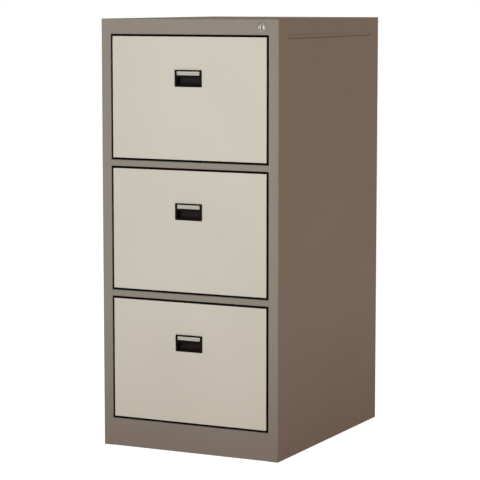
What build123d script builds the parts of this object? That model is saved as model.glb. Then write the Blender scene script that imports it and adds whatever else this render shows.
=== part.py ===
from build123d import *
import os
from math import sqrt

# Three-drawer vertical filing cabinet in folded sheet steel.
# Millimetres. Origin at the middle of the footprint on the floor.
# +Z is up, -Y is the front, +X is to the right of someone facing the drawers.

# Overall size
cabinet_width = 460.0
cabinet_depth = 585.0
cabinet_height = 1016.0

# Steel
case_sheet = 0.9
drawer_sheet = 0.8
post_sheet = 1.2
case_bend = 1.5
drawer_bend = 1.2

# Front frame, seen from the front
stile_width = 25.0
stile_return = 20.0
top_rail_height = 35.5
top_rail_return = 14.0
opening_height = 294.5
divider_height = 15.0
plinth_height = 67.0
drawer_count = 3
drawer_names = ("bottom", "middle", "top")

# Casing details
rear_flange = 18.0
top_flange = 15.0
top_flange_length = 540.0
back_flange_width = 410.0
base_pan_top = 60.0
base_pan_depth = 20.0
top_edge_bevel = 0.8
bead_length = 484.0
bead_width = 9.0
bead_below_top = 40.0
bead_depth = 1.2

# Drawer fronts and the black trim round them
front_gap = 4.5
front_depth = 22.0
front_edge_round = 1.2
trim_width = 3.5
trim_depth = 14.0
trim_setback = 0.6
liner_flange = 10.0

# Drawer trays
tray_width = 384.6
tray_floor = 14.0
tray_side_top = 262.0
tray_length = 544.5
hem_reach = 4.0
hem_drop = 10.0
drawer_back_lift = 2.0
drawer_back_top = 240.0
drawer_back_flange = 12.0

# Moulded cup handles
handle_width = 70.0
handle_height = 39.5
handle_proud = 2.4
handle_below_top = 96.4
handle_corner = 1.0
handle_edge_round = 0.9
pocket_width = 64.0
pocket_height = 35.5
pocket_depth = 18.0
pocket_back_round = 6.0
pocket_clearance = 0.3
recess_width = 60.0
recess_bottom = -16.2
recess_bridge = 3.2
recess_top = 14.9
recess_bridge_back = 3.0
recess_back = 16.2
recess_mouth = -5.0
recess_lip_round = 1.2
recess_hook_round = 1.5
recess_roof_round = 4.5
recess_floor_round = 10.0
label_width = 59.0
label_height = 8.7
label_centre = 11.6
label_thickness = 0.4
label_pocket_depth = 1.8
label_clearance = 0.2

# Telescopic runners
runner_thickness = 12.7
runner_length = 520.0
runner_height = 45.7
runner_sheet = 1.2
runner_bend = 1.5
runner_centre = 110.0
runner_reach = 10.5
runner_lip = 2.6
runner_stagger = 2.0
middle_runner_web = 2.2
middle_runner_reach = 10.0
inner_runner_reach = 5.0
inner_runner_web = runner_thickness - runner_sheet

# Ball cages of the runners
ball_diameter = 3.96
ball_count = 4
ball_pitch = 50.0
cage_length = 200.0
cage_sheet = 0.6
cage_window = 4.2
cage_rim = 1.2
cage_reach = 9.2
outer_cage_web = 1.4
inner_cage_web = 3.8

# Posts that carry the runners
post_width = 40.0
post_foot = 7.0
post_top = 960.0
front_post_start = 42.5
rear_post_start = 492.5

# Lock in the top rail and the bar that it lifts
lock_x = 188.3
lock_below_top = 18.2
lock_flange_radius = 10.0
lock_flange_proud = 1.8
lock_recess_radius = 7.5
lock_recess_depth = 1.5
lock_barrel_radius = 8.0
lock_barrel_length = 22.0
lock_hole_clearance = 0.1
lock_face_recess = 0.6
plug_radius = 6.0
plug_clearance = 0.05
plug_length = 25.0
plug_tail = 7.0
keyway_width = 1.8
keyway_height = 8.5
keyway_depth = 20.0
nut_across_flats = 22.0
nut_thickness = 4.0
nut_clearance = 0.02
cam_length = 16.0
cam_width = 13.0
cam_shift = 1.1
cam_corner = 2.5
cam_thickness = 2.5
cam_lift = 8.0
cam_pin_radius = 2.0
cam_pin_length = 5.0
slot_clearance = 0.5
bar_gap = 1.0
bar_thickness = 2.0
bar_width = 16.0
bar_inner_x = 208.0
bar_head_left = 178.0
bar_head_bottom = 986.0
bar_head_top = 1003.0
bar_bottom = 200.0
hook_reach = 12.0
hook_height = 14.0
hook_lap = 14.0
hook_top = 158.0
guide_centre = 195.0
guide_height = 10.0
guide_width = 8.0
guide_inner_x = 206.2
guide_clearance = 0.3
striker_sheet = 1.5
striker_lift = 2.5
striker_height = 14.0
striker_reach = 11.2
striker_base = 23.5
striker_gap = 2.5

# Levelling feet inside the plinth
foot_across_flats = 27.0
foot_height = 7.0
foot_stud_radius = 4.0
foot_spacing_x = 380.0
foot_spacing_y = 500.0

# Places worked out from the sizes above
half_width = cabinet_width / 2
front_y = -cabinet_depth / 2
back_y = cabinet_depth / 2
opening_half = half_width - stile_width
opening_width = 2 * opening_half
inner_half = half_width - case_sheet
top_sheet_z = cabinet_height - case_sheet
fascia_bottom = cabinet_height - top_rail_height
front_width = opening_width - 2 * front_gap
front_height = opening_height - 2 * front_gap
front_back_y = front_y + front_depth
tray_back_y = front_back_y + tray_length
tray_half = tray_width / 2
runner_front_y = front_back_y + striker_gap
middle_runner_height = runner_height - 2 * (runner_sheet + ball_diameter)
inner_runner_height = middle_runner_height - 2 * (runner_sheet + ball_diameter)
outer_cage_height = runner_height - 2 * runner_sheet - ball_diameter + cage_sheet
inner_cage_height = middle_runner_height - 2 * runner_sheet - ball_diameter + cage_sheet
cage_front_y = runner_front_y + (runner_length - cage_length) / 2
lock_z = cabinet_height - lock_below_top
plug_back_y = front_y + plug_length
cam_back_y = plug_back_y + cam_thickness
plate_front_y = cam_back_y + bar_gap
plate_back_y = plate_front_y + bar_thickness
bar_back_y = plate_back_y + bar_thickness
bar_outer_x = bar_inner_x + bar_width
pin_offset = cam_lift / 2
pin_orbit = cam_lift / sqrt(2)
opening_floors = [plinth_height + i * (opening_height + divider_height) for i in range(drawer_count)]
corner_round = case_bend + case_sheet / 2
back_outer = back_y - case_sheet

# Cross members of the front frame: where each starts above the floor, and its height
front_channels = {
    "plinth": (0, plinth_height),
    "lower_divider_rail": (opening_floors[1] - divider_height, divider_height),
    "upper_divider_rail": (opening_floors[2] - divider_height, divider_height),
}
fascia_span = (fascia_bottom, top_sheet_z - fascia_bottom)

os.makedirs("parts", exist_ok=True)


def facing_front(y, x=0.0, z=0.0):
    """Upright plane across the cabinet, its normal towards the front."""
    return Plane(origin=(x, y, z), x_dir=(1, 0, 0), z_dir=(0, -1, 0))


def facing_side(x, y=0.0, z=0.0):
    """Upright plane along the cabinet, its normal towards the right side."""
    return Plane(origin=(x, y, z), x_dir=(0, 1, 0), z_dir=(1, 0, 0))


def folded_sheet(plane, points, length, sheet, bend=0):
    """Sheet bent along a line through the middle of its thickness."""
    with BuildPart() as strip:
        with BuildSketch(plane):
            with BuildLine():
                if bend:
                    FilletPolyline(*points, radius=bend)
                else:
                    Polyline(*points)
            trace(line_width=sheet)
        extrude(amount=length)
    return strip


def save(piece, name):
    """Name a finished piece and write it to its own file."""
    piece.label = name
    export_step(piece, f"parts/{name}.step")


# Side panels: stile at the front, flange at the back and a flange under the top.
# Beside the cross members the stile's inner bend is filled and dressed flush.
def side_panel(side):
    middle = half_width - case_sheet / 2
    stile_end = opening_half + case_sheet / 2
    face = front_y + case_sheet / 2
    rear = back_y - case_sheet / 2
    points = [
        (side * stile_end, front_y + stile_return),
        (side * stile_end, face),
        (side * middle, face),
        (side * middle, rear),
        (side * (half_width - rear_flange), rear),
    ]
    with BuildPart() as panel:
        with BuildSketch(Plane.XY):
            with BuildLine():
                FilletPolyline(*points, radius=case_bend)
            trace(line_width=case_sheet)
        extrude(amount=top_sheet_z)
        for bottom, height in (*front_channels.values(), fascia_span):
            with BuildSketch(Plane.XY.offset(bottom)):
                with Locations((side * (opening_half + corner_round / 2), front_y + corner_round / 2)):
                    Rectangle(corner_round, corner_round)
            extrude(amount=height)
        with BuildSketch(Plane.XY.offset(top_sheet_z)):
            with Locations((side * (half_width - top_flange / 2), 0)):
                Rectangle(top_flange, top_flange_length)
        extrude(amount=-case_sheet)
        bead_z = cabinet_height - bead_below_top
        with BuildSketch(facing_side(side * inner_half, z=bead_z)):
            Rectangle(bead_length + 2 * case_sheet, bead_width + 2 * case_sheet)
        extrude(amount=-side * bead_depth)
        with BuildSketch(facing_side(side * half_width, z=bead_z)):
            Rectangle(bead_length, bead_width)
        extrude(amount=-side * bead_depth, mode=Mode.SUBTRACT)
    return panel


for side_name, side in (("left", -1), ("right", 1)):
    with BuildPart() as panel:
        add(side_panel(side))
    save(panel.part, f"{side_name}_side_panel")


# Top panel with the fascia that carries the lock
fascia_points = [
    (front_y + top_rail_return, fascia_bottom + case_sheet / 2),
    (front_y + case_sheet / 2, fascia_bottom + case_sheet / 2),
    (front_y + case_sheet / 2, cabinet_height - case_sheet / 2),
    (0, cabinet_height - case_sheet / 2),
]
with BuildPart() as top_panel:
    with BuildSketch(Plane.XY.offset(top_sheet_z)) as top_outline:
        Rectangle(cabinet_width, cabinet_depth)
        chamfer(top_outline.vertices(), corner_round / 2)
    extrude(amount=case_sheet)
    with BuildSketch(facing_side(0)):
        with BuildLine():
            FilletPolyline(*fascia_points, radius=[case_bend, 0])
        trace(line_width=case_sheet)
    extrude(amount=opening_half, both=True)
    chamfer(top_panel.faces().sort_by(Axis.Z)[-1].outer_wire().edges(), top_edge_bevel)
    with BuildSketch(facing_front(front_y, x=lock_x, z=lock_z)):
        Circle(lock_barrel_radius + lock_hole_clearance)
    extrude(amount=-2 * case_sheet, mode=Mode.SUBTRACT)
save(top_panel.part, "top_panel")


# Back panel, let in between the rear flanges of the sides
with BuildPart() as back_panel:
    with BuildSketch(facing_front(back_outer, z=top_sheet_z / 2)):
        Rectangle(2 * (inner_half - case_bend), top_sheet_z)
    extrude(amount=case_sheet)
    for flange_z in (0, top_sheet_z - case_sheet):
        with BuildSketch(Plane.XY.offset(flange_z)):
            with Locations((0, back_outer - top_flange / 2)):
                Rectangle(back_flange_width, top_flange)
        extrude(amount=case_sheet)
save(back_panel.part, "back_panel")


# Rails between the drawers and the plinth below them, all three channels across the front
def front_channel(bottom, height):
    face = front_y + case_sheet / 2
    points = [
        (front_y + stile_return, bottom + case_sheet / 2),
        (face, bottom + case_sheet / 2),
        (face, bottom + height - case_sheet / 2),
        (front_y + stile_return, bottom + height - case_sheet / 2),
    ]
    return folded_sheet(facing_side(-opening_half), points, opening_width, case_sheet, case_bend)


for name, (bottom, height) in front_channels.items():
    with BuildPart() as channel:
        add(front_channel(bottom, height))
    save(channel.part, name)


# Base pan, a shallow tray with its edges turned down
base_front = front_y + stile_return
base_length = back_outer - case_bend - base_front
with BuildPart() as base_pan:
    with BuildSketch(Plane.XY.offset(base_pan_top)):
        with Locations((0, base_front + base_length / 2)):
            Rectangle(2 * inner_half, base_length)
    extrude(amount=-base_pan_depth)
    offset(amount=-case_sheet, openings=base_pan.faces().sort_by(Axis.Z)[0])
save(base_pan.part, "base_pan")


# Posts, hat sections from the base pan up to the top rail
def runner_post(side, start):
    web = opening_half + post_sheet / 2
    wall = inner_half - post_sheet / 2
    near = front_y + start + post_sheet / 2
    far = front_y + start + post_width - post_sheet / 2
    points = [
        (side * wall, near - post_foot),
        (side * wall, near),
        (side * web, near),
        (side * web, far),
        (side * wall, far),
        (side * wall, far + post_foot),
    ]
    return folded_sheet(Plane.XY.offset(base_pan_top), points, post_top - base_pan_top, post_sheet)


for side_name, side in (("left", -1), ("right", 1)):
    for row_name, start in (("front", front_post_start), ("rear", rear_post_start)):
        with BuildPart() as post:
            add(runner_post(side, start))
        save(post.part, f"{side_name}_{row_name}_post")


# Levelling feet, four screwed in flush with the bottom of the plinth
with BuildPart() as levelling_feet:
    with BuildSketch():
        with GridLocations(foot_spacing_x, foot_spacing_y, 2, 2):
            RegularPolygon(foot_across_flats / 2, 6, major_radius=False)
    extrude(amount=foot_height)
    with BuildSketch(Plane.XY.offset(foot_height)):
        with GridLocations(foot_spacing_x, foot_spacing_y, 2, 2):
            Circle(foot_stud_radius)
    extrude(amount=base_pan_top - case_sheet - foot_height)
save(levelling_feet.part, "levelling_feet")


# Lock housing, its round flange on the face of the top rail and dished round the plug
with BuildPart() as lock_housing:
    with BuildSketch(facing_front(front_y, x=lock_x, z=lock_z)):
        Circle(lock_flange_radius)
    extrude(amount=lock_flange_proud)
    with BuildSketch(facing_front(front_y, x=lock_x, z=lock_z)):
        Circle(lock_barrel_radius)
    extrude(amount=-lock_barrel_length)
    with BuildSketch(facing_front(front_y - lock_flange_proud, x=lock_x, z=lock_z)):
        Circle(lock_recess_radius)
    extrude(amount=-lock_recess_depth, mode=Mode.SUBTRACT)
    with Locations(facing_front(front_y, x=lock_x, z=lock_z)):
        Hole(plug_radius + plug_clearance)
save(lock_housing.part, "lock_housing")


# Lock nut behind the fascia
with BuildPart() as lock_nut:
    with BuildSketch(facing_front(front_y + case_sheet, x=lock_x, z=lock_z)):
        RegularPolygon(nut_across_flats / 2, 6, major_radius=False)
        Circle(lock_barrel_radius + nut_clearance, mode=Mode.SUBTRACT)
    extrude(amount=-nut_thickness)
save(lock_nut.part, "lock_nut")


# Lock plug with its upright keyway and a square tail for the cam
with BuildPart() as lock_plug:
    with BuildSketch(facing_front(front_y - lock_flange_proud + lock_face_recess, x=lock_x, z=lock_z)):
        Circle(plug_radius)
    extrude(amount=-(plug_length + lock_flange_proud - lock_face_recess))
    with BuildSketch(facing_front(plug_back_y, x=lock_x, z=lock_z)):
        Rectangle(plug_tail, plug_tail)
    extrude(amount=-cam_thickness)
    with BuildSketch(facing_front(front_y - lock_flange_proud, x=lock_x, z=lock_z)):
        Rectangle(keyway_width, keyway_height)
    extrude(amount=-keyway_depth, mode=Mode.SUBTRACT)
save(lock_plug.part, "lock_plug")


# Cam lever on the tail, with the pin that lifts the bar
with BuildPart() as lock_cam:
    with BuildSketch(facing_front(plug_back_y, x=lock_x, z=lock_z)) as lever:
        with Locations((-cam_shift, -cam_shift)):
            Rectangle(cam_length, cam_width, rotation=45)
        chamfer(lever.vertices(), cam_corner)
        Rectangle(plug_tail, plug_tail, mode=Mode.SUBTRACT)
    extrude(amount=-cam_thickness)
    with BuildSketch(facing_front(cam_back_y, x=lock_x - pin_offset, z=lock_z - pin_offset)):
        Circle(cam_pin_radius)
    extrude(amount=-cam_pin_length)
save(lock_cam.part, "lock_cam")


# Lock bar: a slotted head that the pin lifts, a long strip behind it and a hook for each drawer
slot_left = -pin_orbit - cam_pin_radius - slot_clearance
slot_right = -pin_offset + cam_pin_radius + slot_clearance
slot_height = 2 * (cam_pin_radius + slot_clearance)
with BuildPart() as lock_bar_head:
    with BuildSketch(facing_front(plate_front_y)):
        with Locations(((bar_head_left + bar_outer_x) / 2, (bar_head_bottom + bar_head_top) / 2)):
            Rectangle(bar_outer_x - bar_head_left, bar_head_top - bar_head_bottom)
        with Locations((lock_x + (slot_left + slot_right) / 2, lock_z - pin_offset)):
            SlotOverall(slot_right - slot_left, slot_height, mode=Mode.SUBTRACT)
    extrude(amount=-bar_thickness)
save(lock_bar_head.part, "lock_bar_head")

with BuildPart() as lock_bar:
    with BuildSketch(facing_front(plate_back_y)):
        with Locations(((bar_inner_x + bar_outer_x) / 2, (bar_bottom + bar_head_top) / 2)):
            Rectangle(bar_width, bar_head_top - bar_bottom)
    extrude(amount=-bar_thickness)
save(lock_bar.part, "lock_bar")

with BuildPart() as lock_bar_hooks:
    with BuildSketch(facing_front(plate_front_y)):
        for floor_z in opening_floors:
            with Locations((bar_inner_x + (hook_lap - hook_reach) / 2, floor_z + hook_top - hook_height / 2)):
                Rectangle(hook_reach + hook_lap, hook_height)
    extrude(amount=-bar_thickness)
save(lock_bar_hooks.part, "lock_bar_hooks")


# Nylon guide blocks that hold the bar to the right side panel
guide_middle_y = (plate_back_y + bar_back_y) / 2
with BuildPart() as lock_bar_guides:
    for floor_z in opening_floors:
        with BuildSketch(Plane.XY.offset(floor_z + guide_centre - guide_height / 2)):
            with Locations(((guide_inner_x + inner_half) / 2, guide_middle_y)):
                Rectangle(inner_half - guide_inner_x, guide_width)
            with Locations(((bar_inner_x + bar_outer_x) / 2, guide_middle_y)):
                Rectangle(
                    bar_width + 2 * guide_clearance,
                    bar_thickness + 2 * guide_clearance,
                    mode=Mode.SUBTRACT,
                )
        extrude(amount=guide_height)
save(lock_bar_guides.part, "lock_bar_guides")


# Telescopic runners: three channels nested in one another on each side of a drawer
def runner_pair(height, web, reach, lip, centre_z, stagger):
    """Left and right channel of one height. Web and reach are distances in from the posts."""
    half_height = (height - runner_sheet) / 2
    half_web = web + runner_sheet / 2
    upper = [(half_web, half_height), (reach, half_height)]
    bends = [runner_bend, runner_bend]
    if lip:
        upper.append((reach, half_height - lip))
        bends = [0, runner_bend, runner_bend, 0]
    lower = [(u, -v) for u, v in reversed(upper)]
    start = facing_front(runner_front_y + stagger)
    length = runner_length - 2 * stagger
    with BuildPart() as pair:
        for side in (-1, 1):
            points = [(side * (opening_half - u), centre_z + v) for u, v in lower + upper]
            add(folded_sheet(start, points, -length, runner_sheet, bends))
    return pair


# Ball cages: thin channels that run between two runner members, with a window for each ball
def cage_pair(height, web, reach, centre_z):
    with BuildPart() as pair:
        for side in (-1, 1):
            middle_x = side * (opening_half - (web + reach) / 2)
            with BuildSketch(facing_front(cage_front_y, z=centre_z)):
                with Locations((middle_x, 0)):
                    Rectangle(reach - web, height)
                with Locations((middle_x - side * cage_sheet, 0)):
                    Rectangle(reach - web, height - 2 * cage_sheet, mode=Mode.SUBTRACT)
            extrude(amount=-cage_length)
            window_x = side * (opening_half - web - cage_sheet - cage_rim - cage_window / 2)
            with BuildSketch(Plane.XY.offset(centre_z)):
                with Locations((window_x, cage_front_y + cage_length / 2)):
                    with GridLocations(cage_window, ball_pitch, 1, ball_count):
                        Rectangle(cage_window, cage_window)
            extrude(amount=height, both=True, mode=Mode.SUBTRACT)
    return pair


# Drawer front: a pan of sheet steel with its edges turned back and a cut-out for the handle
def drawer_front(centre_z, handle_z):
    with BuildPart() as front:
        with BuildSketch(facing_front(front_y, z=centre_z)):
            Rectangle(front_width, front_height)
        extrude(amount=-front_depth)
        fillet(front.faces().sort_by(Axis.Y)[0].edges(), front_edge_round)
        offset(amount=-case_sheet, openings=front.faces().sort_by(Axis.Y)[-1])
        with BuildSketch(facing_front(front_y, z=handle_z)):
            Rectangle(pocket_width + 2 * pocket_clearance, pocket_height + 2 * pocket_clearance)
        extrude(amount=-2 * case_sheet, mode=Mode.SUBTRACT)
    return front


# Black trim, a square ring pressed over the turned edges of the front
def edge_trim(centre_z):
    with BuildPart() as trim:
        with BuildSketch(facing_front(front_y + trim_setback, z=centre_z)):
            Rectangle(front_width + 2 * trim_width, front_height + 2 * trim_width)
            Rectangle(front_width, front_height, mode=Mode.SUBTRACT)
        extrude(amount=-trim_depth)
    return trim


# Liner that closes the back of the front pan
def front_liner(centre_z):
    with BuildPart() as liner:
        with BuildSketch(facing_front(front_back_y, z=centre_z)):
            Rectangle(front_width - 2 * case_sheet, front_height - 2 * case_sheet)
        extrude(amount=liner_flange)
        offset(amount=-drawer_sheet, openings=liner.faces().sort_by(Axis.Y)[0])
    return liner


# Tray: floor and both sides from one sheet, the top edges rolled outwards to hang files on
def drawer_tray(floor_z):
    wall = tray_half - drawer_sheet / 2
    bottom = floor_z + tray_floor + drawer_sheet / 2
    rim = floor_z + tray_side_top - drawer_sheet / 2
    hem_end = floor_z + tray_side_top - hem_drop
    right = [(wall, bottom), (wall, rim), (wall + hem_reach, rim), (wall + hem_reach, hem_end)]
    left = [(-x, z) for x, z in reversed(right)]
    bends = [0, drawer_bend, 0, 0, drawer_bend, 0]
    return folded_sheet(facing_front(front_back_y), left + right, -tray_length, drawer_sheet, bends)


# Back of the tray, its ends turned backwards along the sides
def drawer_back(floor_z):
    wall = tray_half - drawer_sheet - drawer_sheet / 2
    rear = tray_back_y
    face = rear - drawer_back_flange
    points = [(-wall, rear), (-wall, face), (wall, face), (wall, rear)]
    plane = Plane.XY.offset(floor_z + tray_floor + drawer_back_lift)
    height = drawer_back_top - tray_floor - drawer_back_lift
    return folded_sheet(plane, points, height, drawer_sheet)


# Handle: a moulded cup with a frame for the label above the finger recess
def cup_handle(handle_z):
    recess_rounds = [0, 0, recess_lip_round, recess_hook_round, recess_roof_round, recess_floor_round]
    with BuildPart() as handle:
        with BuildSketch(facing_front(front_y, z=handle_z)):
            Rectangle(handle_width, handle_height)
        extrude(amount=handle_proud)
        chamfer(handle.edges().filter_by(Axis.Y), handle_corner)
        chamfer(handle.faces().sort_by(Axis.Y)[0].edges(), handle_edge_round)
        with BuildSketch(facing_front(front_y, z=handle_z)):
            Rectangle(pocket_width, pocket_height)
        extrude(amount=-pocket_depth)
        pocket_end = handle.faces().sort_by(Axis.Y)[-1]
        fillet(pocket_end.edges().filter_by(Axis.X), pocket_back_round)
        with BuildSketch(facing_side(0, y=front_y, z=handle_z)):
            with BuildLine():
                FilletPolyline(
                    (recess_mouth, recess_bottom),
                    (recess_mouth, recess_bridge),
                    (recess_bridge_back, recess_bridge),
                    (recess_bridge_back, recess_top),
                    (recess_back, recess_top),
                    (recess_back, recess_bottom),
                    radius=recess_rounds,
                    close=True,
                )
            make_face()
        extrude(amount=recess_width / 2, both=True, mode=Mode.SUBTRACT)
        with BuildSketch(facing_front(front_y - handle_proud, z=handle_z + label_centre)):
            Rectangle(label_width + 2 * label_clearance, label_height + 2 * label_clearance)
        extrude(amount=-label_pocket_depth, mode=Mode.SUBTRACT)
    return handle


# Label card in its frame
def label_card(handle_z):
    with BuildPart() as card:
        card_y = front_y - handle_proud + label_pocket_depth
        with BuildSketch(facing_front(card_y, z=handle_z + label_centre)):
            Rectangle(label_width, label_height)
        extrude(amount=label_thickness)
    return card


# Striker on the right side of the tray, which the lock bar's hook stands in front of
def lock_striker(floor_z):
    face = tray_half + striker_sheet / 2
    front = plate_back_y + striker_gap + striker_sheet / 2
    points = [(face, front + striker_base), (face, front), (face + striker_reach, front)]
    plane = Plane.XY.offset(floor_z + hook_top + striker_lift)
    return folded_sheet(plane, points, striker_height, striker_sheet)


for name, floor_z in zip(drawer_names, opening_floors):
    centre_z = floor_z + opening_height / 2
    handle_z = floor_z + opening_height - front_gap - handle_below_top
    runner_z = floor_z + runner_centre
    pieces = {
        "drawer_front": drawer_front(centre_z, handle_z),
        "drawer_trim": edge_trim(centre_z),
        "drawer_liner": front_liner(centre_z),
        "drawer_tray": drawer_tray(floor_z),
        "drawer_back": drawer_back(floor_z),
        "drawer_handle": cup_handle(handle_z),
        "drawer_label": label_card(handle_z),
        "drawer_striker": lock_striker(floor_z),
        "cabinet_runners": runner_pair(runner_height, 0, runner_reach, runner_lip, runner_z, 0),
        "middle_runners": runner_pair(
            middle_runner_height, middle_runner_web, middle_runner_reach, 0, runner_z, runner_stagger
        ),
        "drawer_runners": runner_pair(
            inner_runner_height, inner_runner_web, inner_runner_reach, 0, runner_z, 0
        ),
        "outer_ball_cages": cage_pair(outer_cage_height, outer_cage_web, cage_reach, runner_z),
        "inner_ball_cages": cage_pair(inner_cage_height, inner_cage_web, cage_reach, runner_z),
    }
    for piece_name, piece in pieces.items():
        save(piece.part, f"{name}_{piece_name}")
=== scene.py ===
import math

import bmesh
import bpy
from bpy.props import FloatProperty, FloatVectorProperty, IntProperty, PointerProperty
from bpy.types import NodeSocket, Operator, Panel, PropertyGroup
from mathutils import Matrix, Vector


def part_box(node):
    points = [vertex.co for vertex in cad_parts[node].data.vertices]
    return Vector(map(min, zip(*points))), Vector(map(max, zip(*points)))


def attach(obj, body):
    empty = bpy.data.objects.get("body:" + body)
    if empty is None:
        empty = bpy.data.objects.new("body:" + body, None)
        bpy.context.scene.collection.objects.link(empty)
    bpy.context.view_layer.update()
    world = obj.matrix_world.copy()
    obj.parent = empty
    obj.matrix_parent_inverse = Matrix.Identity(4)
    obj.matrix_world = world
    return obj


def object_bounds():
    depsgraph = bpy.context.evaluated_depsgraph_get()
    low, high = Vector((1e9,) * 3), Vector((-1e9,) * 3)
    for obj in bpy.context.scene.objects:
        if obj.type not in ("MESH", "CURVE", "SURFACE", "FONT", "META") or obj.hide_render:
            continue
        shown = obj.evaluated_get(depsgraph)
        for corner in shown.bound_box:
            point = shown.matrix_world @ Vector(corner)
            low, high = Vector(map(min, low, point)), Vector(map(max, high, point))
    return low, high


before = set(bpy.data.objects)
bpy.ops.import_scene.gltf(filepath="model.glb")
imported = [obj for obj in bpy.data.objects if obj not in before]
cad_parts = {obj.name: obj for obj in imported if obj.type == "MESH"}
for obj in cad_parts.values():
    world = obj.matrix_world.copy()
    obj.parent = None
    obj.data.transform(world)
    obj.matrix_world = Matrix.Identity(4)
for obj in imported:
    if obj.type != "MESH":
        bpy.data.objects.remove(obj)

bl_info = {
    "name": "Three-drawer filing cabinet",
    "version": (1, 0, 0),
    "blender": (4, 5, 0),
    "location": "View3D > Sidebar > Filing cabinet",
    "description": "Finishes, small hardware and studio for a three-drawer steel filing cabinet",
    "category": "Object",
}

MM = 0.001
CAD_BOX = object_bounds()
DRAWERS = ("bottom", "middle", "top")
SIDES = (-1, 1)

# Paint: painted shade darkens it below this height, and along the pressing of the side panels
FLOOR_SHADE_HEIGHT = 320.0 * MM
PRESSING_LENGTH = 484.0 * MM
PRESSING_WIDTH = 9.0 * MM
PRESSING_BELOW_TOP = 40.0 * MM
CREASE_SHADE_REACH = 1.3 * MM

# Lip of the black trim: share of its width, and how far it stands off the drawer front in mm
LIP_SECTION = ((0.0, 0.0), (0.0, 0.15), (0.3, 0.21), (0.75, 0.18), (1.0, 0.0))

# Handles and labels
CUP_MOUTH_DEPTH = 3.6 * MM
CUP_EDGE = 0.5 * MM
COVER_GAP = 0.1 * MM
COVER_BEVEL = 0.08 * MM

# Writing line of a card: full up to the first distance from its middle and gone at the second, as shares of
# the card's height
CARD_LINE = (0.05, 0.09)

# Lock face: where each painted highlight and painted shade starts and ends, from its middle or, for a depth,
# from its front
HIGHLIGHT_BAND_EDGE = (1.3 * MM, 2.6 * MM)
DISH_DEPTH = (0.9 * MM, 1.1 * MM)
KEYWAY_SIDE = (1.5 * MM, 1.7 * MM)
KEYWAY_END = (4.6 * MM, 5.0 * MM)
KEYWAY_DEPTH = (-0.2 * MM, 0.0)
# Painted shade: tints off the highlight band, in the dish and round the keyway
OFF_HIGHLIGHT_SHADE = (0.86, 0.83, 0.80)
DISH_SHADE = (0.30, 0.27, 0.25)
KEYWAY_SHADE = (0.01, 0.01, 0.01)

# Rolled rim of the lock: radius, and how far it stands off the flange, both in mm
RIM_SECTION = ((7.6, -0.05), (7.8, 0.25), (8.3, 0.42), (9.2, 0.42), (9.7, 0.22), (9.9, -0.05))

# Ball cages: their sheet, and how far the middle of a window lies inside the outermost face
CAGE_SHEET = 0.6 * MM
WINDOW_INSET = 3.9 * MM

# Faces of a ball from pole to pole
BALL_RINGS = 10

# Blind rivet head: share of its radius, share of its height
RIVET_SECTION = (
    (1.0, 0.0), (1.0, 0.25), (0.86, 0.70), (0.55, 1.0), (0.34, 1.0), (0.26, 0.80), (0.24, 0.30), (0.0, 0.30)
)

# Rivets: inner face of a tray's wall, shares of a runner's length, places on the strikers and the lock bar
TRAY_WALL = 191.5 * MM
RUNNER_RIVETS = (0.06, 0.36, 0.66, 0.94)
STRIKER_FRONT_RIVET = 8.0 * MM
STRIKER_REAR_RIVET = 5.0 * MM
HOOK_HEIGHT = 14.0 * MM
BAR_RIVET_OFFSET = 3.6 * MM
BAR_RIVET_WIDTH = 0.8
BAR_RIVET_RISE = 0.7

# Levelling feet and their threaded studs
FOOT_X = 190.0 * MM
FOOT_Y = 250.0 * MM
FOOT_TOP = 7.0 * MM
STUD_RADIUS = 4.0 * MM
STUD_TOP = 39.0 * MM
THREAD_ROOT = 0.02 * MM
THREAD_CREST = 0.5 * MM

# Studio, in metres: each square lamp's place, the point that it faces and its width
KEY_LAMP = {"place": (0.0, -2.2, 1.05), "aim": (0.0, -0.3, 1.05), "size": 1.0}
SIDE_LAMP = {"place": (3.0, -0.3, 1.3), "aim": (0.2, 0.0, 0.9), "size": 1.6}
TOP_LAMP = {"place": (-0.5, 0.5, 2.6), "aim": (-0.5, 0.5, 0.0), "size": 1.2}
FLOOR_RADIUS = 400.0
FAR_CLIP = 1000.0

# Room, by the direction looked in: the pale horizon ends over this span of its Z, and the room above darkens
# to the right over this span of its X
HORIZON_TOP = (0.11, 0.2)
RIGHT_SIDE = (-0.05, 0.55)

# Camera: place in metres, tilt below level and turn to the left in radians, sensor in mm
CAMERA_PLACE = (2.20552, -4.49296, 1.06615)
CAMERA_TILT = 0.117763
CAMERA_TURN = 0.458383
SENSOR_WIDTH = 36.0

# Noise lies mostly between these two values
NOISE_SPAN = (0.3, 0.7)


# Settings that a user would change


def colour_setting(name, description, default):
    return FloatVectorProperty(
        name=name, description=description, default=default, subtype="COLOR", size=3, min=0.0, max=1.0
    )


def length_setting(name, description, default):
    return FloatProperty(
        name=name, description=description, default=default, min=0.0, unit="LENGTH", precision=5
    )


def power_setting(name, description, default):
    return FloatProperty(name=name, description=description, default=default, min=0.0, unit="POWER")


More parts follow.
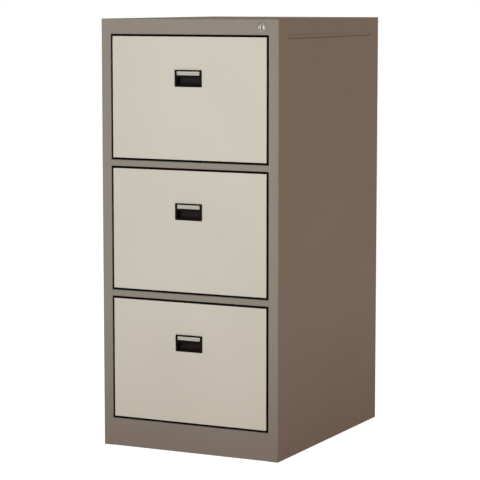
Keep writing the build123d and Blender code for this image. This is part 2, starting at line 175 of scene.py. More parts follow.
class CabinetFinishes(PropertyGroup):
    """Colours and surface grain of the cabinet's materials."""

    casing: colour_setting("Casing paint", "Powder coat of the casing", (0.209, 0.170, 0.1295))
    drawer: colour_setting("Drawer paint", "Powder coat of the drawers", (0.462, 0.399, 0.311))
    handle: colour_setting("Handle plastic", "Black moulding of the handles", (0.0035, 0.0028, 0.0022))
    # Painted light: this lighter tone inside the finger recess lifts the shade that falls there
    cup: colour_setting("Handle cup", "Duller plastic inside the finger recess", (0.0168, 0.0104, 0.0082))
    trim: colour_setting("Edge trim", "Black trim round the drawer fronts", (0.0015, 0.0010, 0.0010))
    card: colour_setting("Label card", "Paper in the label frames", (0.545, 0.470, 0.350))
    rule: colour_setting("Label rule", "Writing line ruled on the card", (0.41, 0.355, 0.268))
    zinc: colour_setting("Zinc plate", "Plating of the runners and the lock bar", (0.60, 0.61, 0.63))
    nickel: colour_setting("Nickel plate", "Dull plating of the lock", (0.292, 0.250, 0.206))
    steel: colour_setting("Ball steel", "Balls of the runners", (0.70, 0.70, 0.71))
    nylon: colour_setting("Nylon", "Guide blocks of the lock bar", (0.74, 0.72, 0.66))
    foot: colour_setting("Foot plastic", "Levelling feet", (0.016, 0.016, 0.017))
    # Painted shade: these tints darken the casing's and the drawers' paint towards the floor, where less
    # light falls
    floor_shade: colour_setting("Casing dust", "Tint of the casing's paint at floor level", (0.82, 0.76, 0.75))
    drawer_floor_shade: colour_setting(
        "Drawer dust", "Tint of the drawers' paint at floor level", (0.97, 0.95, 0.94)
    )
    # Painted shade: the tone left along the creases of the side panels' pressing, where shade falls
    crease_shade: FloatProperty(
        name="Crease tone",
        description="Share of the paint's tone that is left along pressed creases",
        default=0.72,
        min=0.0,
        max=1.0,
        subtype="FACTOR",
    )
    paint_grain: length_setting("Paint grain", "Spacing of the powder coat's orange peel", 1.8 * MM)
    plastic_grain: length_setting("Plastic grain", "Spacing of the mould's spark grain", 0.6 * MM)


class CabinetFittings(PropertyGroup):
    """Sizes of the small hardware."""

    ball_diameter: length_setting("Ball diameter", "Balls of the telescopic runners", 3.9 * MM)
    ball_pitch: length_setting("Ball pitch", "Distance between the balls of one row", 50.0 * MM)
    ball_count: IntProperty(
        name="Balls in a row", description="Balls along each row of a cage", default=4, min=1
    )
    rivet_radius: length_setting("Rivet radius", "Heads of the blind rivets", 3.2 * MM)
    rivet_height: length_setting("Rivet height", "How far the rivet heads stand up", 0.9 * MM)
    cover_thickness: length_setting("Label cover", "Thickness of the clear cover over a label", 0.35 * MM)
    trim_lip: length_setting("Trim lip", "How far the black edging laps onto a drawer front", 0.6 * MM)
    thread_pitch: length_setting("Thread pitch", "Thread of the levelling studs", 1.25 * MM)


class StudioSettings(PropertyGroup):
    """Light, floor and lens of the studio."""

    key_power: power_setting("Key light", "Power of the large front light", 36.1)
    side_power: power_setting("Side light", "Power of the warm light on the right", 13.0)
    top_power: power_setting("Top light", "Power of the light overhead", 28.0)
    key_colour: colour_setting("Key colour", "Colour of the front light", (0.711, 0.845, 1.0))
    side_colour: colour_setting("Side colour", "Colour of the light on the right", (1.0, 0.27, 0.04))
    top_colour: colour_setting("Top colour", "Colour of the light overhead", (1.0, 0.985, 0.96))
    horizon_colour: colour_setting("Horizon", "Pale walls of the room", (1.0, 1.0, 1.0))
    room_colour: colour_setting("Room colour", "The room above the horizon", (0.10, 0.11, 0.12))
    shade_colour: colour_setting("Shaded room", "Above the horizon on the right", (0.03, 0.012, 0.005))
    floor_colour: colour_setting("Floor colour", "Grey under the floor's own pale light", (0.30, 0.30, 0.30))
    glow_colour: colour_setting("Glow colour", "Colour of the floor's own light", (1.0, 0.985, 0.975))
    floor_glow: FloatProperty(
        name="Floor glow", description="Strength of the floor's own light", default=0.98, min=0.0
    )
    focal_length: FloatProperty(
        name="Focal length", description="Lens of the camera in mm", default=154.071, min=1.0, unit="CAMERA"
    )


# Materials


def scaled(colour, factor):
    return tuple(min(1.0, part * factor) for part in colour)


class Finish:
    """A new material with one Principled shader, and short ways to wire its tones and grain."""

    def __init__(self, name):
        self.material = bpy.data.materials.new(name)
        self.material.use_nodes = True
        self.tree = self.material.node_tree
        self.shader = self.tree.nodes["Principled BSDF"]
        self.place = self.tree.nodes.new("ShaderNodeTexCoord").outputs["Object"]

    def set(self, **values):
        """Sets what is the same all over; an underscore stands for a space in the socket's name."""
        for socket, value in values.items():
            self.shader.inputs[socket.replace("_", " ")].default_value = value

    def wire(self, output, socket):
        """Feeds one of the shader's own sockets."""
        self.link(output, self.shader.inputs[socket])

    def link(self, output, socket):
        self.tree.links.new(output, socket)

    def node(self, kind, **settings):
        made = self.tree.nodes.new(kind)
        for key, value in settings.items():
            setattr(made, key, value)
        return made

    def axes(self, place=None):
        """The X, Y and Z of a place, by default the one in the cabinet's own frame."""
        split = self.node("ShaderNodeSeparateXYZ")
        self.link(place or self.place, split.inputs["Vector"])
        return split.outputs["X"], split.outputs["Y"], split.outputs["Z"]

    def stretched(self, scale):
        mapping = self.node("ShaderNodeMapping")
        mapping.inputs["Scale"].default_value = scale
        self.link(self.place, mapping.inputs["Vector"])
        return mapping.outputs["Vector"]

    def noise(self, spacing, detail=2.0, rough=0.5, where=None):
        noise = self.node("ShaderNodeTexNoise")
        noise.inputs["Scale"].default_value = 1.0 / spacing
        noise.inputs["Detail"].default_value = detail
        noise.inputs["Roughness"].default_value = rough
        self.link(where or self.place, noise.inputs["Vector"])
        return noise.outputs["Fac"]

    def calculate(self, operation, first, second=0.0):
        step = self.node("ShaderNodeMath", operation=operation)
        for value, socket in zip((first, second), step.inputs):
            if isinstance(value, float):
                socket.default_value = value
            else:
                self.link(value, socket)
        return step.outputs["Value"]

    def product(self, first, *others):
        for other in others:
            first = self.calculate("MULTIPLY", first, other)
        return first

    def away(self, value, middle):
        """How far a value is from a middle, on either side."""
        return self.calculate("ABSOLUTE", self.calculate("SUBTRACT", value, middle))

    def spread(self, value, low, high, span=NOISE_SPAN):
        """Maps a span of values onto low to high, and holds those ends beyond it."""
        start, end = span
        ranged = self.node("ShaderNodeMapRange")
        ranged.inputs["From Min"].default_value = start
        ranged.inputs["From Max"].default_value = end
        ranged.inputs["To Min"].default_value = low
        ranged.inputs["To Max"].default_value = high
        self.link(value, ranged.inputs["Value"])
        return ranged.outputs["Result"]

    def rise(self, value, span=NOISE_SPAN):
        """Nought before a span and one past it."""
        return self.spread(value, 0.0, 1.0, span)

    def fall(self, value, span):
        """One before a span and nought past it."""
        return self.spread(value, 1.0, 0.0, span)

    def mottled(self, noise, colour, dark, light):
        """Wanders between a darker and a lighter shade of a colour."""
        mix = self.node("ShaderNodeMix", data_type="RGBA")
        mix.inputs["A"].default_value = (*scaled(colour, dark), 1.0)
        mix.inputs["B"].default_value = (*scaled(colour, light), 1.0)
        self.link(self.rise(noise), mix.inputs["Factor"])
        return mix.outputs["Result"]

    def covered(self, tone, amount, colour, mode="MIX"):
        """Lays a colour over a tone, by an amount from nought to one."""
        mix = self.node("ShaderNodeMix", data_type="RGBA", blend_type=mode)
        self.link(amount, mix.inputs["Factor"])
        self.link(tone, mix.inputs["A"])
        mix.inputs["B"].default_value = (*colour, 1.0)
        return mix.outputs["Result"]

    def tinted(self, tone, amount, tint):
        """Multiplies a tone by a tint, by an amount from nought to one."""
        return self.covered(tone, amount, tint, mode="MULTIPLY")

    def outline(self, length, width, height, reach):
        """One along the edges of an upright rectangle that runs along Y, fainter towards the back."""
        along, up = self.axes()[1:]
        past_end = self.calculate("SUBTRACT", self.calculate("ABSOLUTE", along), length / 2)
        past_edge = self.calculate("SUBTRACT", self.away(up, height), width / 2)
        off_line = self.calculate("ABSOLUTE", self.calculate("MAXIMUM", past_end, past_edge))
        core = 0.4 * reach
        back_share = 0.35
        fade = (-0.3 * length, 0.45 * length)
        return self.product(self.fall(off_line, (core, reach)), self.spread(along, 1.0, back_share, fade))

    def bump(self, height, strength, depth):
        bump = self.node("ShaderNodeBump")
        bump.inputs["Strength"].default_value = strength
        bump.inputs["Distance"].default_value = depth
        self.link(height, bump.inputs["Height"])
        self.wire(bump.outputs["Normal"], "Normal")


def powder_coat(name, colour, grain, floor_shade, pressing=None, crease_shade=1.0):
    """Satin powder coat: orange peel and faint clouding, with painted shade near the floor and along a
    pressing.
    """
    coat = Finish(name)
    coat.set(Specular_IOR_Level=0.03)
    cloud = coat.noise(220.0 * MM, detail=3.0)
    tone = coat.mottled(cloud, colour, dark=0.975, light=1.02)
    # Painted shade: the paint darkens towards the floor, where less light falls
    floor_shade_mask = coat.fall(coat.axes()[2], (0.0, FLOOR_SHADE_HEIGHT))
    tone = coat.tinted(tone, floor_shade_mask, floor_shade)
    if pressing:
        # Painted shade: the paint darkens along the edges of the pressing, fainter towards the back
        tone = coat.tinted(tone, coat.outline(*pressing), (crease_shade, crease_shade, crease_shade))
    coat.wire(tone, "Base Color")
    handling = coat.noise(50.0 * MM, detail=4.0)
    coat.wire(coat.spread(handling, low=0.52, high=0.62), "Roughness")
    peel = coat.noise(grain, detail=1.0)
    coat.bump(peel, strength=0.12, depth=0.05 * MM)
    return coat.material


def zinc_plate(name, colour):
    """Bright zinc with drawing lines along the steel and a cloudy bloom."""
    zinc = Finish(name)
    zinc.set(Metallic=1.0)
    bloom = zinc.noise(18.0 * MM, detail=5.0, rough=0.6)
    zinc.wire(zinc.mottled(bloom, colour, dark=0.86, light=1.08), "Base Color")
    lines = zinc.noise(1.1 * MM, detail=3.0, where=zinc.stretched((1.0, 0.02, 1.0)))
    zinc.wire(zinc.spread(lines, low=0.26, high=0.42), "Roughness")
    zinc.bump(lines, strength=0.1, depth=0.03 * MM)
    return zinc.material


def painted_lock_light(plate, tone, centre):
    """Painted light on a lock's face: a highlight band across it, and painted shade off the band, in its dish
    and round its keyway.
    """
    across, depth, up = plate.axes()
    aside = plate.away(across, centre.x)
    above = plate.away(up, centre.z)
    # Painted highlight: a bright band across the face stands for the reflection of its turning marks; off it
    # the face is painted darker
    off_band = plate.rise(above, HIGHLIGHT_BAND_EDGE)
    tone = plate.tinted(tone, off_band, OFF_HIGHLIGHT_SHADE)
    # Painted shade in the dish, left out across the highlight band
    start, end = DISH_DEPTH
    dished = plate.rise(depth, (centre.y + start, centre.y + end))
    tone = plate.tinted(tone, plate.product(dished, off_band), DISH_SHADE)
    # Painted shade in and round the keyway, wider than the slot itself
    start, end = KEYWAY_DEPTH
    behind_rim = plate.rise(depth, (centre.y + start, centre.y + end))
    keyway = plate.product(plate.fall(aside, KEYWAY_SIDE), plate.fall(above, KEYWAY_END), behind_rim)
    return plate.tinted(tone, keyway, KEYWAY_SHADE)


def bright_plate(name, colour, gloss, lock_centre=None):
    """Plated metal with the faint haze that handling leaves, and on a lock a painted highlight and painted
    shade on its face.
    """
    plate = Finish(name)
    plate.set(Metallic=1.0)
    haze = plate.noise(4.0 * MM, detail=4.0)
    tone = plate.mottled(haze, colour, dark=0.92, light=1.04)
    if lock_centre:
        tone = painted_lock_light(plate, tone, lock_centre)
    plate.wire(tone, "Base Color")
    plate.wire(plate.spread(haze, low=gloss, high=gloss + 0.1), "Roughness")
    plate.bump(plate.noise(0.9 * MM), strength=0.04, depth=0.02 * MM)
    return plate.material


def moulded_plastic(name, colour, grain, roughness, gloss=0.3, cup=None, cup_mouth=0.0):
    """Grained moulding: spark texture, uneven gloss, and painted light: a lighter tone inside a finger
    recess, behind its mouth.
    """
    plastic = Finish(name)
    plastic.set(Specular_IOR_Level=gloss)
    flow = plastic.noise(30.0 * MM, detail=3.0)
    tone = plastic.mottled(flow, colour, dark=0.85, light=1.25)
    if cup:
        # Painted light: a lighter tone behind the recess's mouth lifts the shade inside it
        inside = plastic.rise(plastic.axes()[1], (cup_mouth, cup_mouth + CUP_EDGE))
        tone = plastic.covered(tone, inside, cup)
    plastic.wire(tone, "Base Color")
    rubbing = plastic.noise(8.0 * MM)
    plastic.wire(plastic.spread(rubbing, low=roughness - 0.05, high=roughness + 0.06), "Roughness")
    plastic.bump(plastic.noise(grain, rough=0.7), strength=0.25, depth=0.04 * MM)
    return plastic.material


def ruled_card(name, colour, rule):
    """Off-white card with paper fibre and one writing line along its middle."""
    card = Finish(name)
    card.set(Specular_IOR_Level=0.2)
    fibre = card.noise(1.2 * MM, detail=5.0, rough=0.7)
    paper = card.mottled(fibre, colour, dark=0.985, light=1.015)
    within_card = card.node("ShaderNodeTexCoord").outputs["Generated"]
    off_line = card.away(card.axes(within_card)[2], 0.5)
    card.wire(card.covered(paper, card.fall(off_line, CARD_LINE), rule), "Base Color")
    card.wire(card.spread(fibre, low=0.75, high=0.9), "Roughness")
    card.bump(fibre, strength=0.15, depth=0.03 * MM)
    return card.material


def clear_cover(name):
    """Thin clear plastic with fine handling marks."""
    cover = Finish(name)
    cover.set(Base_Color=(0.25, 0.24, 0.22, 1.0), Alpha=0.12, IOR=1.49)
    marks = cover.noise(2.5 * MM, detail=4.0)
    cover.wire(cover.spread(marks, low=0.05, high=0.16), "Roughness")
    cover.bump(cover.noise(20.0 * MM), strength=0.04, depth=0.02 * MM)
    return cover.material


def lit_floor(name, colour, glow_colour, glow):
    """Matt floor with the slightest mottling, which glows pale by itself."""
    floor = Finish(name)
    floor.set(Specular_IOR_Level=0.1)
    cloud = floor.noise(800.0 * MM, detail=3.0)
    floor.wire(floor.mottled(cloud, colour, dark=0.99, light=1.01), "Base Color")
    floor.wire(floor.spread(cloud, low=0.85, high=0.95), "Roughness")
    floor.set(Emission_Color=(*glow_colour, 1.0), Emission_Strength=glow)
    return floor.material


def coat_nodes(nodes, material):
    """Gives nodes of the solids their finish, or raises if one is missing."""
    for name in nodes:
        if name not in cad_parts:
            raise RuntimeError(f"the frame has no node {name}")
        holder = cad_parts[name]
        if not holder.material_slots:
            holder.data.materials.append(material)
        for slot in holder.material_slots:
            slot.link = "OBJECT"
            slot.material = material


def nodes_ending(*endings):
    return [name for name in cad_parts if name.endswith(endings)]


# Mesh building


def new_piece(name, mesh, material, body, smooth=False):
    """Turns a bmesh into a piece that rides on a body."""
    data = bpy.data.meshes.new(name)
    mesh.to_mesh(data)
    mesh.free()
    data.materials.append(material)
    if smooth:
        data.polygons.foreach_set("use_smooth", [True] * len(data.polygons))
    piece = bpy.data.objects.new(name, data)
    bpy.context.collection.objects.link(piece)
    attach(piece, body)


def turn_profile(mesh, points, centre, axis, steps):
    """Lathe: spins (radius, height) points about an axis through centre."""
    turned = Vector((0, 0, 1)).rotation_difference(Vector(axis)).to_matrix().to_4x4()
    place = Matrix.Translation(Vector(centre)) @ turned
    angles = [2 * math.pi * i / steps for i in range(steps)]
    rings = []
    for radius, height in points:
        if radius == 0:
            spots = [(0, 0, height)]
        else:
            spots = [(radius * math.cos(angle), radius * math.sin(angle), height) for angle in angles]
        rings.append([mesh.verts.new(place @ Vector(spot)) for spot in spots])
    for lower, upper in zip(rings, rings[1:]):
        for i in range(steps):
            j = (i + 1) % steps
            corners = [ring[k % len(ring)] for ring, k in ((lower, i), (lower, j), (upper, j), (upper, i))]
            corners = list(dict.fromkeys(corners))
            if len(corners) > 2:
                mesh.faces.new(corners)
    bmesh.ops.recalc_face_normals(mesh, faces=mesh.faces)


def add_plate(mesh, middle, size, bevel):
    """Thin plate with its edges eased all round."""
    bmesh.ops.create_cube(mesh, size=1.0)
    place = Matrix.Translation(middle) @ Matrix.Diagonal((*size, 1.0))
    bmesh.ops.transform(mesh, matrix=place, verts=mesh.verts)
    bmesh.ops.bevel(mesh, geom=mesh.edges[:], offset=bevel, segments=2, affect="EDGES")


def add_ball(mesh, centre, diameter):
    """Ball turned from a half circle, so that its faces come in the same order each run."""
    radius = diameter / 2
    angles = [math.pi * i / BALL_RINGS for i in range(1, BALL_RINGS)]
    arc = [(radius * math.sin(angle), -radius * math.cos(angle)) for angle in angles]
    turn_profile(mesh, [(0.0, -radius), *arc, (0.0, radius)], centre, (0, 0, 1), steps=16)


def add_rivet(mesh, centre, axis, radius, height):
    """Blind rivet head: a low dome with the hollow left by its pulled stem."""
    profile = [(across * radius, up * height) for across, up in RIVET_SECTION]
    turn_profile(mesh, profile, centre, axis, steps=24)


def add_thread(mesh, foot, pitch):
    """Screw thread as a stack of ridges round a levelling stud, from its foot up."""
    profile = []
    height = 0.0
    while FOOT_TOP + height < STUD_TOP:
        profile.append((STUD_RADIUS + THREAD_ROOT, height))
        profile.append((STUD_RADIUS + THREAD_CREST, height + pitch / 2))
        height += pitch
    turn_profile(mesh, profile, foot, (0, 0, 1), steps=20)


def add_lip(mesh, low, high, width):
    """Flat rounded lip that laps onto the face of a drawer front, all round its edge."""
    loops = []
    for share, stand in LIP_SECTION:
        inset = share * width
        y = low.y - stand * MM
        left, right = low.x + inset, high.x - inset
        bottom, top = low.z + inset, high.z - inset
        corners = ((left, bottom), (right, bottom), (right, top), (left, top))
        loops.append([mesh.verts.new((x, y, z)) for x, z in corners])
    loops.append(loops[0])
    for outer, inner in zip(loops, loops[1:]):
        for i in range(4):
            j = (i + 1) % 4
            mesh.faces.new((outer[i], outer[j], inner[j], inner[i]))
    bmesh.ops.recalc_face_normals(mesh, faces=mesh.faces)


# Operators


class CABINET_OT_coat_casing(Operator):
    """Coat the casing, its rails, plinth and posts"""

    bl_idname = "cabinet.coat_casing"
    bl_label = "Coat the casing"

    def execute(self, context):
        finishes = context.scene.cabinet_finishes
        coating = (finishes.casing, finishes.paint_grain, finishes.floor_shade)
        paint = powder_coat("casing_powder_coat", *coating)
        coat_nodes(nodes_ending("_rail", "_post") + ["top_panel", "back_panel", "plinth", "base_pan"], paint)
        pressing_height = CAD_BOX[1].z - PRESSING_BELOW_TOP
        pressing = (PRESSING_LENGTH, PRESSING_WIDTH, pressing_height, CREASE_SHADE_REACH)
        pressed_paint = powder_coat("side_powder_coat", *coating, pressing, finishes.crease_shade)
        coat_nodes(nodes_ending("_side_panel"), pressed_paint)
        return {"FINISHED"}


class CABINET_OT_coat_drawers(Operator):
    """Coat the drawer fronts, liners, trays and backs, and edge the fronts with black trim"""

    bl_idname = "cabinet.coat_drawers"
    bl_label = "Coat the drawers"

    def execute(self, context):
        finishes = context.scene.cabinet_finishes
        paint = powder_coat("drawer_powder_coat", finishes.drawer, finishes.paint_grain, finishes.drawer_floor_shade)
        coat_nodes(nodes_ending("_drawer_front", "_drawer_liner", "_drawer_tray", "_drawer_back"), paint)
        trim = moulded_plastic(
            "trim_rubber", finishes.trim, finishes.plastic_grain, roughness=0.8, gloss=0.03
        )
        coat_nodes(nodes_ending("_drawer_trim"), trim)
        lip = context.scene.cabinet_fittings.trim_lip
        for drawer in DRAWERS:
            low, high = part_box(f"{drawer}_drawer_front")
            mesh = bmesh.new()
            add_lip(mesh, low, high, lip)
            new_piece(f"{drawer}_trim_lip", mesh, trim, f"{drawer}_drawer")
        return {"FINISHED"}


class CABINET_OT_finish_handles(Operator):
    """Give the moulded cup handles their grained black plastic"""

    bl_idname = "cabinet.finish_handles"
    bl_label = "Finish the handles"

    def execute(self, context):
        finishes = context.scene.cabinet_finishes
        handle_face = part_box("top_drawer_handle")[0].y
        plastic = moulded_plastic(
            "handle_plastic",
            finishes.handle,
            finishes.plastic_grain,
            roughness=0.6,
            gloss=0.06,
            cup=finishes.cup,
            cup_mouth=handle_face + CUP_MOUTH_DEPTH,
        )
        coat_nodes(nodes_ending("_drawer_handle"), plastic)
        return {"FINISHED"}


class CABINET_OT_dress_labels(Operator):
    """Rule the label cards and lay a clear cover over each"""

    bl_idname = "cabinet.dress_labels"
    bl_label = "Dress the labels"

    def execute(self, context):
        finishes = context.scene.cabinet_finishes
        coat_nodes(nodes_ending("_drawer_label"), ruled_card("label_card", finishes.card, finishes.rule))
        clear = clear_cover("label_cover")
        thickness = context.scene.cabinet_fittings.cover_thickness
        for drawer in DRAWERS:
            low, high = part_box(f"{drawer}_drawer_label")
            size = Vector((high.x - low.x, thickness, high.z - low.z))
            middle = Vector(((low.x + high.x) / 2, low.y - COVER_GAP - thickness / 2, (low.z + high.z) / 2))
            mesh = bmesh.new()
            add_plate(mesh, middle, size, COVER_BEVEL)
            new_piece(f"{drawer}_label_cover", mesh, clear, f"{drawer}_drawer")
        return {"FINISHED"}


class CABINET_OT_finish_lock(Operator):
    """Plate the lock and add the rolled rim round its face"""

    bl_idname = "cabinet.finish_lock"
    bl_label = "Finish the lock"

    def execute(self, context):
        finishes = context.scene.cabinet_finishes
        low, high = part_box("lock_housing")
        centre = Vector(((low.x + high.x) / 2, low.y, (low.z + high.z) / 2))
        nickel = bright_plate("lock_nickel", finishes.nickel, gloss=0.3, lock_centre=centre)
        coat_nodes(["lock_housing", "lock_plug"], nickel)
        rim = [(radius * MM, stand * MM) for radius, stand in RIM_SECTION]
        mesh = bmesh.new()
        turn_profile(mesh, rim, centre, (0, -1, 0), steps=64)
        new_piece("lock_rim", mesh, nickel, "cabinet", smooth=True)
        return {"FINISHED"}


class CABINET_OT_plate_runners(Operator):
    """Zinc plate the runners, cages, strikers and lock bar, and colour the bar's nylon guides"""

    bl_idname = "cabinet.plate_runners"
    bl_label = "Plate the runners"

    def execute(self, context):
        finishes = context.scene.cabinet_finishes
        zinc = zinc_plate("zinc_plate", finishes.zinc)
        coat_nodes(nodes_ending("_runners", "_cages", "_striker"), zinc)
        coat_nodes(["lock_bar", "lock_bar_head", "lock_bar_hooks", "lock_nut", "lock_cam"], zinc)
        nylon = moulded_plastic("guide_nylon", finishes.nylon, finishes.plastic_grain, roughness=0.5)
        coat_nodes(["lock_bar_guides"], nylon)
        return {"FINISHED"}


class CABINET_OT_add_balls(Operator):
    """Put the balls in the windows of every cage"""

    bl_idname = "cabinet.add_balls"
    bl_label = "Add the bearing balls"

    def execute(self, context):
        steel = bright_plate("ball_steel", context.scene.cabinet_finishes.steel, gloss=0.12)
        for drawer in DRAWERS:
            for row in ("outer", "inner"):
                mesh = bmesh.new()
                self.fill_cage(mesh, *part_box(f"{drawer}_{row}_ball_cages"), context.scene.cabinet_fittings)
                body = f"{drawer}_{row}_cages"
                new_piece(f"{drawer}_{row}_balls", mesh, steel, body, smooth=True)
        return {"FINISHED"}

    def fill_cage(self, mesh, low, high, fittings):
        """Four rows of balls, above and below in the cage on either side of a drawer."""
        across = high.x - WINDOW_INSET
        along = (low.y + high.y) / 2
        up = (low.z + high.z) / 2
        reach = (high.z - low.z - CAGE_SHEET) / 2
        for side in SIDES:
            for level in SIDES:
                for i in range(fittings.ball_count):
                    y = along + (i - (fittings.ball_count - 1) / 2) * fittings.ball_pitch
                    add_ball(mesh, (side * across, y, up + level * reach), fittings.ball_diameter)


class CABINET_OT_add_rivets(Operator):
    """Rivet the trays to their runners, the strikers to the trays and the hooks to the lock bar"""

    bl_idname = "cabinet.add_rivets"
    bl_label = "Add the rivets"

    def execute(self, context):
        fittings = context.scene.cabinet_fittings
        zinc = zinc_plate("rivet_zinc", context.scene.cabinet_finishes.zinc)
        for drawer in DRAWERS:
            mesh = bmesh.new()
            self.rivet_drawer(mesh, drawer, fittings.rivet_radius, fittings.rivet_height)
            body = f"{drawer}_drawer"
            new_piece(f"{drawer}_drawer_rivets", mesh, zinc, body, smooth=True)
        mesh = bmesh.new()
        self.rivet_bar(mesh, BAR_RIVET_WIDTH * fittings.rivet_radius, BAR_RIVET_RISE * fittings.rivet_height)
        new_piece("lock_bar_rivets", mesh, zinc, "lock_bar", smooth=True)
        return {"FINISHED"}

    def rivet_drawer(self, mesh, drawer, radius, height):
        low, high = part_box(f"{drawer}_drawer_runners")
        for side in SIDES:
            for share in RUNNER_RIVETS:
                y = low.y + share * (high.y - low.y)
                add_rivet(mesh, (side * TRAY_WALL, y, (low.z + high.z) / 2), (-side, 0, 0), radius, height)
        low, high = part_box(f"{drawer}_drawer_striker")
        for y in (low.y + STRIKER_FRONT_RIVET, high.y - STRIKER_REAR_RIVET):
            add_rivet(mesh, (TRAY_WALL, y, (low.z + high.z) / 2), (-1, 0, 0), radius, height)

    def rivet_bar(self, mesh, radius, height):
        """Two rivets side by side through each hook and through the head."""
        low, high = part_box("lock_bar_hooks")
        strip_low, strip_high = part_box("lock_bar")
        head_low, head_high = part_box("lock_bar_head")
        middle_x = (strip_low.x + strip_high.x) / 2
        drawer_rise = (high.z - low.z - HOOK_HEIGHT) / (len(DRAWERS) - 1)
        levels = [low.z + HOOK_HEIGHT / 2 + i * drawer_rise for i in range(len(DRAWERS))]
        levels.append((head_low.z + head_high.z) / 2)
        for z in levels:
            for side in SIDES:
                x = middle_x + side * BAR_RIVET_OFFSET
                add_rivet(mesh, (x, low.y, z), (0, -1, 0), radius, height)


class CABINET_OT_finish_feet(Operator):
    """Finish the levelling feet and cut the thread of their studs"""

    bl_idname = "cabinet.finish_feet"
    bl_label = "Finish the feet"

    def execute(self, context):
        finishes = context.scene.cabinet_finishes
        plastic = moulded_plastic("foot_plastic", finishes.foot, finishes.plastic_grain, roughness=0.5)
        coat_nodes(["levelling_feet"], plastic)
        zinc = zinc_plate("stud_zinc", finishes.zinc)
        mesh = bmesh.new()
        for side in SIDES:
            for end in SIDES:
                foot = (side * FOOT_X, end * FOOT_Y, FOOT_TOP)
                add_thread(mesh, foot, context.scene.cabinet_fittings.thread_pitch)
        new_piece("levelling_threads", mesh, zinc, "cabinet")
        return {"FINISHED"}


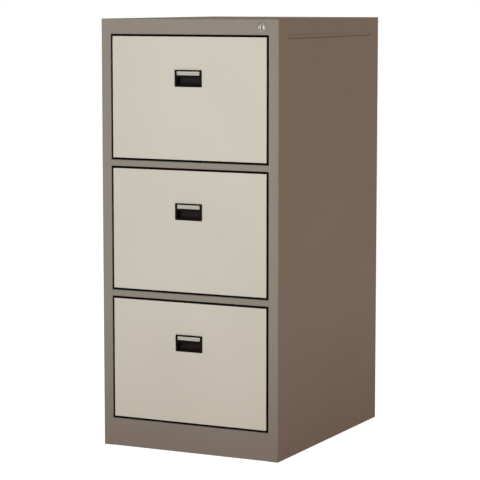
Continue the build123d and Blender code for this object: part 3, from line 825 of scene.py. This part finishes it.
class CABINET_OT_set_stage(Operator):
    """Lay the pale floor and set the room light, the lamps and the camera"""

    bl_idname = "cabinet.set_stage"
    bl_label = "Set the stage"

    def execute(self, context):
        studio = context.scene.cabinet_studio
        self.lay_floor(studio)
        self.light_room(context, studio)
        self.hang_lamp("key_light", studio.key_power, studio.key_colour, **KEY_LAMP)
        self.hang_lamp("side_light", studio.side_power, studio.side_colour, **SIDE_LAMP)
        self.hang_lamp("top_light", studio.top_power, studio.top_colour, **TOP_LAMP)
        self.place_camera(context, studio)
        context.scene.view_settings.view_transform = "Standard"
        return {"FINISHED"}

    def lay_floor(self, studio):
        mesh = bmesh.new()
        bmesh.ops.create_circle(mesh, cap_ends=True, segments=96, radius=FLOOR_RADIUS)
        data = bpy.data.meshes.new("studio_floor")
        mesh.to_mesh(data)
        mesh.free()
        finish = lit_floor("studio_floor", studio.floor_colour, studio.glow_colour, studio.floor_glow)
        data.materials.append(finish)
        floor = bpy.data.objects.new("studio_floor", data)
        bpy.context.collection.objects.link(floor)

    def light_room(self, context, studio):
        world = bpy.data.worlds.new("pale_room")
        world.use_nodes = True
        context.scene.world = world
        tree = world.node_tree
        place = tree.nodes.new("ShaderNodeTexCoord")
        split = tree.nodes.new("ShaderNodeSeparateXYZ")
        tree.links.new(place.outputs["Generated"], split.inputs["Vector"])
        room = self.fade(tree, split.outputs["X"], RIGHT_SIDE, studio.room_colour, studio.shade_colour)
        sky = self.fade(tree, split.outputs["Z"], HORIZON_TOP, studio.horizon_colour, room)
        tree.links.new(sky, tree.nodes["Background"].inputs["Color"])

    def fade(self, tree, along, span, first, second):
        """Blends two colours of the room over a span of one part of the direction looked in."""
        ranged = tree.nodes.new("ShaderNodeMapRange")
        ranged.inputs["From Min"].default_value, ranged.inputs["From Max"].default_value = span
        tree.links.new(along, ranged.inputs["Value"])
        mix = tree.nodes.new("ShaderNodeMix")
        mix.data_type = "RGBA"
        tree.links.new(ranged.outputs["Result"], mix.inputs["Factor"])
        for colour, socket in ((first, mix.inputs["A"]), (second, mix.inputs["B"])):
            if isinstance(colour, NodeSocket):
                tree.links.new(colour, socket)
            else:
                socket.default_value = (*colour, 1.0)
        return mix.outputs["Result"]

    def hang_lamp(self, name, power, colour, place, aim, size):
        """Hangs a square lamp that faces a point and is itself out of sight."""
        lamp = bpy.data.lights.new(name, "AREA")
        lamp.size = size
        lamp.energy = power
        lamp.color = colour
        holder = bpy.data.objects.new(name, lamp)
        holder.location = place
        holder.visible_camera = False
        holder.rotation_euler = (Vector(aim) - Vector(place)).to_track_quat("-Z", "Y").to_euler()
        bpy.context.collection.objects.link(holder)

    def place_camera(self, context, studio):
        data = bpy.data.cameras.new("photo_camera")
        data.sensor_width = SENSOR_WIDTH
        data.lens = studio.focal_length
        data.clip_end = FAR_CLIP
        camera = bpy.data.objects.new("photo_camera", data)
        camera.location = CAMERA_PLACE
        camera.rotation_euler = (math.pi / 2 - CAMERA_TILT, 0.0, CAMERA_TURN)
        bpy.context.collection.objects.link(camera)
        context.scene.camera = camera


class CABINET_PT_sidebar(Panel):
    """Sidebar panel with the cabinet's settings and steps."""

    bl_idname = "CABINET_PT_sidebar"
    bl_label = "Filing cabinet"
    bl_space_type = "VIEW_3D"
    bl_region_type = "UI"
    bl_category = "Filing cabinet"

    def draw(self, context):
        for group in SETTINGS:
            settings = getattr(context.scene, group)
            box = self.layout.box()
            for name in settings.bl_rna.properties.keys():
                if name not in ("rna_type", "name"):
                    box.prop(settings, name)
        column = self.layout.column(align=True)
        for step in STEPS:
            column.operator(step.bl_idname)


STEPS = (
    CABINET_OT_coat_casing,
    CABINET_OT_coat_drawers,
    CABINET_OT_finish_handles,
    CABINET_OT_dress_labels,
    CABINET_OT_finish_lock,
    CABINET_OT_plate_runners,
    CABINET_OT_add_balls,
    CABINET_OT_add_rivets,
    CABINET_OT_finish_feet,
    CABINET_OT_set_stage,
)
SETTINGS = {
    "cabinet_finishes": CabinetFinishes,
    "cabinet_fittings": CabinetFittings,
    "cabinet_studio": StudioSettings,
}


def register():
    for settings in SETTINGS.values():
        bpy.utils.register_class(settings)
    for step in STEPS:
        bpy.utils.register_class(step)
    bpy.utils.register_class(CABINET_PT_sidebar)
    for name, settings in SETTINGS.items():
        setattr(bpy.types.Scene, name, PointerProperty(type=settings))


def unregister():
    for name in SETTINGS:
        delattr(bpy.types.Scene, name)
    bpy.utils.unregister_class(CABINET_PT_sidebar)
    for step in reversed(STEPS):
        bpy.utils.unregister_class(step)
    for settings in reversed(list(SETTINGS.values())):
        bpy.utils.unregister_class(settings)


def main():
    register()
    for step in STEPS:
        family, name = step.bl_idname.split(".")
        getattr(getattr(bpy.ops, family), name)()


if __name__ == "__main__":
    main()
